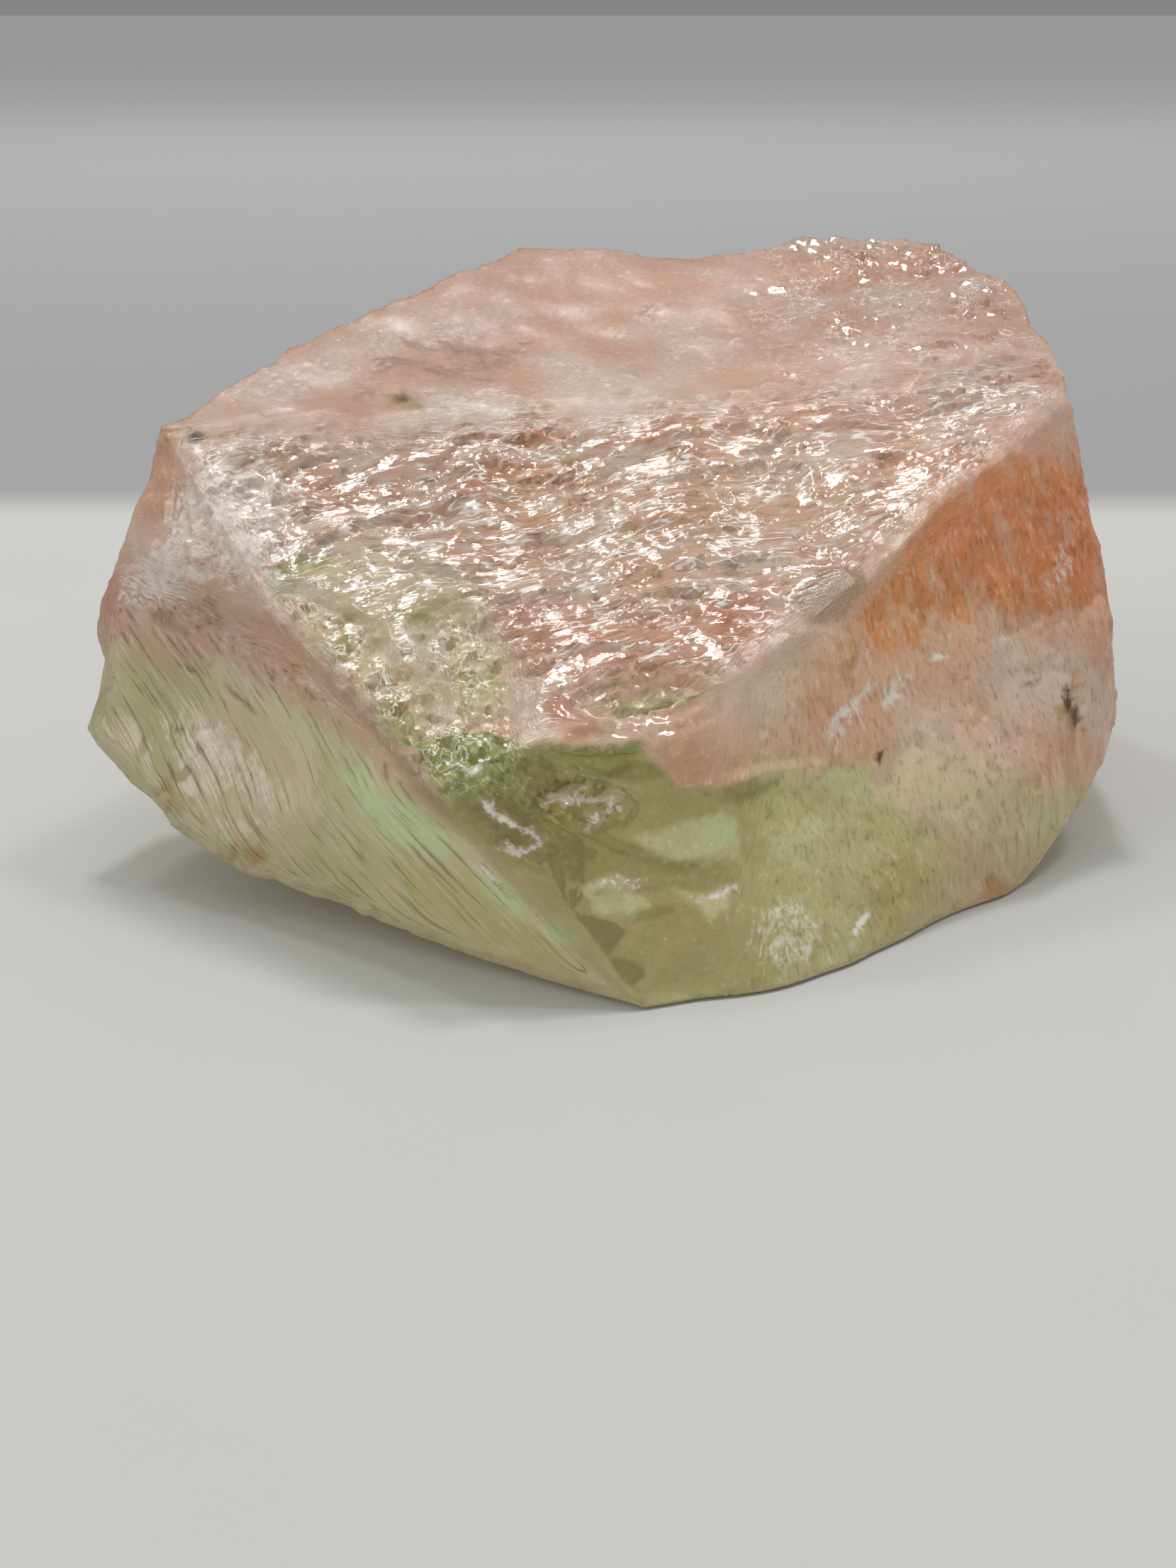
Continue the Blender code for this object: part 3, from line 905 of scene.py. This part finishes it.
def paint_stone(surface):
    """Stores each point's colour, with painted highlights, shade and light in it, how veiled it is and how
    dull it is.
    """
    cloud = surface.waves(CLOUD)
    mottle = surface.waves(MOTTLE)
    painted_glints = painted_glint_lines(surface)
    rust = patch_at(surface, IRON_SPOTS)
    # Painted highlights: white laid along the ledges and rims where glints show
    tint = painted(ground_colours(surface, cloud), 0.8 * painted_glints, MILK)
    tint = stain_stone(surface, tint, mottle, rust)
    # Painted shade and light: the top and the slope are painted darker and the upper right side lighter,
    # for how the light falls on them
    sides = surface.on("right", "right_low", "right_end") * smooth_step(3.0, 11.0, surface.points[:, 2])
    light = 1.0 - PAINTED_TOP_SHADE * surface.on("top") + PAINTED_SIDE_LIGHT * sides
    light -= PAINTED_SLOPE_SHADE * surface.on("slope") * (1.0 - surface.sparkle)
    surface.store_vector("tint", np.minimum(tint * light[:, None], 1.0)[:, :3])

    dull = surface.on("top") * (1.0 - surface.shoulder)
    # The painted highlight lines are also frosted, which whitens them further in the shader
    frost = np.maximum(surface.corner, 1.3 * painted_glints)
    frost = np.maximum(frost, 0.75 * regions(surface, WHITE_VEILS, *VEIL_BLUR))
    veil = np.maximum(0.45 * dull * smooth_step(-0.5, 0.6, cloud + 0.4 * mottle), frost)
    surface.store("veil", veil * (1.0 - rust))
    surface.store("dull", np.maximum(np.maximum(0.8 * dull, rust), 0.35 * frost))


# How much longer than wide the finest grain is on the slope and the left, and its rates on the right
SLOPE_GRAIN = 4.0
LEFT_GRAIN = 14.0
SIDES_GRAIN = (1.2, 1.2, 0.2)


def store_grain(surface):
    """Where the finest grain runs along flow lines, grooves or upright, how strong it is, where thin white
    lines of painted highlight lie on it, and where the stone is clear."""
    points = surface.points
    slope = surface.on("slope") * (1.0 - surface.sparkle)
    left = surface.on("left", "left_low")
    sides = surface.on("right", "right_low", "right_end")
    grain = slope[:, None] * drawn_out(*surface.flow, SLOPE_GRAIN)
    grain += left[:, None] * drawn_out(*surface.scratch, LEFT_GRAIN)
    grain += sides[:, None] * points * SIDES_GRAIN
    grain += (1.0 - slope - left - sides)[:, None] * points
    surface.store_vector("grain", grain)
    lined = 0.8 * slope + left + 0.5 * sides + 0.8 * surface.sparkle
    surface.store("lined", np.clip(lined, 0.0, 1.0))
    # Where the painted highlight lines may lie
    glint_strand = slope + surface.sparkle + 0.7 * surface.shoulder
    surface.store("glint_strand", np.clip(glint_strand, 0.0, 1.0) * (1.0 - surface.calm))
    surface.store("clear", surface.clear)


class Nodes:
    """Short ways to add and join shader nodes."""

    def __init__(self, name):
        self.material = bpy.data.materials.new(name)
        self.material.use_nodes = True
        self.nodes = self.material.node_tree.nodes
        self.links = self.material.node_tree.links
        self.shader = self.nodes["Principled BSDF"]
        self.output = self.nodes["Material Output"]

    def feed(self, socket, value):
        if isinstance(value, bpy.types.NodeSocket):
            self.links.new(value, socket)
        else:
            socket.default_value = value

    def node(self, kind, inputs, output, **settings):
        """Adds a node with these settings and inputs, named or numbered, and gives one output."""
        node = self.nodes.new("ShaderNode" + kind)
        for name, value in settings.items():
            setattr(node, name, value)
        for name, value in inputs.items():
            self.feed(node.inputs[name], value)
        return node.outputs[output]

    def attribute(self, name, output="Fac"):
        return self.node("Attribute", {}, output, attribute_name=name)

    def math(self, operation, one, two=0.0, three=0.0):
        return self.node("Math", {0: one, 1: two, 2: three}, 0, operation=operation)

    def multiplied(self, one, two):
        """Two vectors or colours, multiplied part by part."""
        return self.node("VectorMath", {0: one, 1: two}, "Vector", operation="MULTIPLY")

    def grey(self, value):
        return self.node("CombineXYZ", {0: value, 1: value, 2: value}, 0)

    def place(self):
        """The place on the stone or the floor in millimetres."""
        return self.multiplied(self.node("TexCoord", {}, "Object"), (1.0 / MM, 1.0 / MM, 1.0 / MM))

    def mixed(self, kind, share, one, two):
        node = self.nodes.new("ShaderNodeMix")
        node.data_type = kind
        ends = [socket for socket in node.inputs if socket.enabled]
        for socket, value in zip(ends, (share, one, two)):
            self.feed(socket, value)
        return next(socket for socket in node.outputs if socket.enabled)

    def mix(self, share, one, two):
        return self.mixed("RGBA", share, one, two)

    def blend(self, share, one, two):
        return self.mixed("FLOAT", share, one, two)

    def noise(self, vector, size, detail=3.0, roughness=0.55, warp=0.0):
        inputs = {"Vector": vector, "Scale": 1.0 / size, "Detail": detail}
        inputs.update({"Roughness": roughness, "Distortion": warp})
        return self.node("TexNoise", inputs, "Fac")

    def range(self, value, low, high, to_low=0.0, to_high=1.0):
        inputs = {"Value": value, "From Min": low, "From Max": high, "To Min": to_low, "To Max": to_high}
        return self.node("MapRange", inputs, "Result", interpolation_type="SMOOTHSTEP")

    def bump(self, height, distance, strength):
        return self.node("Bump", {"Height": height, "Distance": distance, "Strength": strength}, "Normal")


# The crystal, and how strongly each metre of it takes up light
STONE_IOR = 1.575
ABSORPTION_COLOUR = (0.92, 0.87, 0.58, 1.0)
ABSORPTION_DENSITY = 16.0

# Shader noises: size in millimetres, detail, roughness and warp
MOTTLE_NOISE = (0.6, 4.0, 0.7)
GRAIN_NOISE = (0.34, 3.0, 0.6)
GLINT_STRAND_NOISE = (0.9, 2.0, 0.6, 0.5)
TUFT_NOISE = (2.4, 2.0)

# Where in its noise each mark sets in and is full, and its strength there if not 0 and 1
DARK_GRAIN = (0.32, 0.47)
PALE_GRAIN = (0.54, 0.68)
SPECKS = (0.30, 0.24, 0.0, 0.35)
FROST = (0.56, 0.80)
TUFTS = (0.42, 0.56)
# The thin white lines are painted highlights, standing in for fine glints along the fracture rims
GLINT_STRAND = (0.028, 0.009)

# Strengths: a pair is for plain and for lined stone, or for plain and for clear stone
DARK_LEVELS = (0.88, 0.5)
PALE_LEVELS = (0.25, 0.5)
SEE_THROUGH = (0.54, 0.86)
GLOSS = (0.06, 0.04)
VEIL_STRENGTH = 0.22
FROST_WHITE = 0.85
FROSTED_SEE_THROUGH = 0.35
# How white the painted highlight lines are, and how little they let through
GLINT_STRAND_WHITE = 0.9
GLINT_STRAND_SEE_THROUGH = 0.1
DULL_ROUGHNESS = 0.42
GRAIN_BUMP = 0.00007


def stone_material():
    kit = Nodes("beryl_surface")
    mottle = kit.noise(kit.place(), *MOTTLE_NOISE)
    grain = kit.noise(kit.attribute("grain", "Vector"), *GRAIN_NOISE)
    lined = kit.attribute("lined")
    clear = kit.attribute("clear")
    shade = kit.blend(kit.range(grain, *DARK_GRAIN), kit.blend(lined, *DARK_LEVELS), 1.0)
    tint = kit.multiplied(kit.attribute("tint", "Color"), kit.grey(shade))
    pale = kit.math("MULTIPLY", kit.range(grain, *PALE_GRAIN), kit.blend(lined, *PALE_LEVELS))
    tint = kit.mix(pale, tint, MILK)
    tint = kit.mix(kit.range(mottle, *SPECKS), tint, RUST)
    veil = kit.math("MULTIPLY", kit.attribute("veil"), VEIL_STRENGTH)
    frost = kit.range(kit.math("MULTIPLY_ADD", kit.math("ADD", mottle, grain), 0.5, veil), *FROST)
    tint = kit.mix(kit.math("MULTIPLY", frost, FROST_WHITE), tint, MILK)
    # Painted highlights: thin white lines along the grain where it is lined, standing in for fine glints
    wander = kit.noise(kit.attribute("grain", "Vector"), *GLINT_STRAND_NOISE)
    off_line = kit.math("ABSOLUTE", kit.math("SUBTRACT", wander, 0.5))
    tufts = kit.range(kit.noise(kit.place(), *TUFT_NOISE), *TUFTS)
    tufts = kit.math("MULTIPLY", tufts, kit.attribute("glint_strand"))
    painted_glint_strands = kit.math("MULTIPLY", kit.range(off_line, *GLINT_STRAND), tufts)
    tint = kit.mix(kit.math("MULTIPLY", painted_glint_strands, GLINT_STRAND_WHITE), tint, MILK)
    kit.feed(kit.shader.inputs["Base Color"], tint)
    see = kit.blend(frost, kit.blend(clear, *SEE_THROUGH), FROSTED_SEE_THROUGH)
    kit.feed(kit.shader.inputs["Transmission Weight"], kit.blend(painted_glint_strands, see, GLINT_STRAND_SEE_THROUGH))
    roughness = kit.blend(kit.attribute("dull"), kit.blend(clear, *GLOSS), DULL_ROUGHNESS)
    kit.feed(kit.shader.inputs["Roughness"], roughness)
    kit.shader.inputs["IOR"].default_value = STONE_IOR
    kit.feed(kit.shader.inputs["Normal"], kit.bump(grain, GRAIN_BUMP, lined))
    volume = kit.nodes.new("ShaderNodeVolumeAbsorption")
    volume.inputs["Color"].default_value = ABSORPTION_COLOUR
    volume.inputs["Density"].default_value = ABSORPTION_DENSITY
    kit.links.new(volume.outputs[0], kit.output.inputs["Volume"])
    return kit.material


def shade_stone(surface):
    """Flat shading on the hackly parts, where each chip glints on its own, and smooth shading elsewhere."""
    uneven = smooth_step(-0.3, 0.3, surface.waves(FLAT_SHADING))
    hackly = uneven * (surface.on("slope") + 0.8 * surface.shoulder) + 0.6 * surface.sparkle + surface.chip
    smooth = [hackly[list(face.vertices)].mean() < 0.5 for face in surface.mesh.polygons]
    surface.mesh.polygons.foreach_set("use_smooth", smooth)


def build_stone():
    mesh = fine_mesh(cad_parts[NODE])
    stone = bpy.data.objects.new("stone", mesh)
    bpy.context.scene.collection.objects.link(stone)
    surface = Surface(mesh)
    surface.flow = flow_lines(surface)
    surface.calm = np.zeros(len(surface.points))
    surface.patch = smooth_step(-0.35, 0.25, surface.waves(UNEVENNESS))
    roughen_slope(surface)
    raise_ledges(surface)
    roughen_rest(surface)
    groove_left(surface)
    shape_window(surface)
    break_sparkle_zone(surface)
    cut_bowl(surface)
    flatten_plateau(surface)
    paint_stone(surface)
    store_grain(surface)
    surface.finish()
    shade_stone(surface)
    mesh.materials.clear()
    mesh.materials.append(stone_material())
    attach(stone, BODY)
    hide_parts(NODE)


def add_camera():
    data = bpy.data.cameras.new("camera")
    data.sensor_width = SENSOR
    data.lens = SENSOR * FOCAL_PIXELS / IMAGE_HEIGHT
    data.clip_start = NEAREST
    data.clip_end = FARTHEST
    camera = bpy.data.objects.new("camera", data)
    camera.location = CAMERA_PLACE
    camera.rotation_euler = (math.pi / 2 - CAMERA_PITCH, 0.0, 0.0)
    bpy.context.scene.collection.objects.link(camera)
    bpy.context.scene.camera = camera


# The floor: how far it lies below the stone and half its width, in metres
FLOOR_GAP = 0.0002
FLOOR_SIZE = 40.0
FLOOR_ROUGHNESS = 0.9
FLOOR_NOISE = (30.0, 3.0)
FLOOR_PALE = (colour(189, 189, 187), colour(195, 195, 193))
FLOOR_GREY = (colour(150, 150, 151), colour(190, 190, 191))
# Where the floor turns from pale to grey behind the stone, and where the grey gets lighter, in millimetres
PALE_END = (85.0, 103.0)
GREY_RANGE = (100.0, 900.0)


def add_floor():
    shape = bmesh.new()
    bmesh.ops.create_grid(shape, x_segments=1, y_segments=1, size=FLOOR_SIZE)
    mesh = bpy.data.meshes.new("floor")
    shape.to_mesh(mesh)
    shape.free()
    floor = bpy.data.objects.new("floor", mesh)
    floor.location.z = -FLOOR_GAP
    bpy.context.scene.collection.objects.link(floor)
    kit = Nodes("floor_paper")
    place = kit.place()
    back = kit.node("SeparateXYZ", {0: place}, "Y")
    pale = kit.mix(kit.noise(place, *FLOOR_NOISE), *FLOOR_PALE)
    grey = kit.mix(kit.range(back, *GREY_RANGE), *FLOOR_GREY)
    kit.feed(kit.shader.inputs["Base Color"], kit.mix(kit.range(back, *PALE_END), pale, grey))
    kit.shader.inputs["Roughness"].default_value = FLOOR_ROUGHNESS
    mesh.materials.append(kit.material)


# The lamps: name, place and width in metres, and power in watts
LAMPS = (
    ("ceiling_lamp", (-0.05, 0.31, 0.87), 0.17, 2.2),
    ("right_lamp", (0.34, 0.10, 0.85), 0.14, 1.2),
    ("left_lamp", (-0.40, 0.36, 0.80), 0.14, 1.1),
    ("left_fill", (-0.75, -0.45, 0.45), 0.5, 1.5),
)
# The light from all around: its colour low and high up, with the heights where they begin and end
ROOM_COLOURS = ((0.02, colour(158, 158, 159)), (0.7, colour(250, 249, 246)))
ROOM_STRENGTH = 0.69


def add_lamp(name, place, size, power):
    """A round lamp that faces the stone."""
    data = bpy.data.lights.new(name, "AREA")
    data.shape = "DISK"
    data.size = size
    data.energy = power
    lamp = bpy.data.objects.new(name, data)
    lamp.location = place
    lamp.rotation_euler = (-Vector(place)).to_track_quat("-Z", "Y").to_euler()
    bpy.context.scene.collection.objects.link(lamp)


def set_up_room():
    """Light from all around, brighter from above, and the render's view and light paths."""
    world = bpy.data.worlds.new("room")
    world.use_nodes = True
    nodes, links = world.node_tree.nodes, world.node_tree.links
    coordinates = nodes.new("ShaderNodeTexCoord")
    split = nodes.new("ShaderNodeSeparateXYZ")
    links.new(coordinates.outputs["Generated"], split.inputs[0])
    ramp = nodes.new("ShaderNodeValToRGB")
    links.new(split.outputs["Z"], ramp.inputs["Fac"])
    for element, (height, shade) in zip(ramp.color_ramp.elements, ROOM_COLOURS):
        element.position = height
        element.color = shade
    links.new(ramp.outputs["Color"], nodes["Background"].inputs["Color"])
    nodes["Background"].inputs["Strength"].default_value = ROOM_STRENGTH
    scene = bpy.context.scene
    scene.world = world
    scene.view_settings.view_transform = "Standard"
    scene.cycles.max_bounces = 6
    scene.cycles.transmission_bounces = 8
    scene.cycles.glossy_bounces = 8
    scene.cycles.diffuse_bounces = 3
    scene.cycles.caustics_reflective = True
    scene.cycles.caustics_refractive = True
    scene.cycles.sample_clamp_indirect = 4.0
    scene.cycles.adaptive_threshold = 0.06
    scene.cycles.use_light_tree = False


add_camera()
add_floor()
for lamp in LAMPS:
    add_lamp(*lamp)
set_up_room()
build_stone()
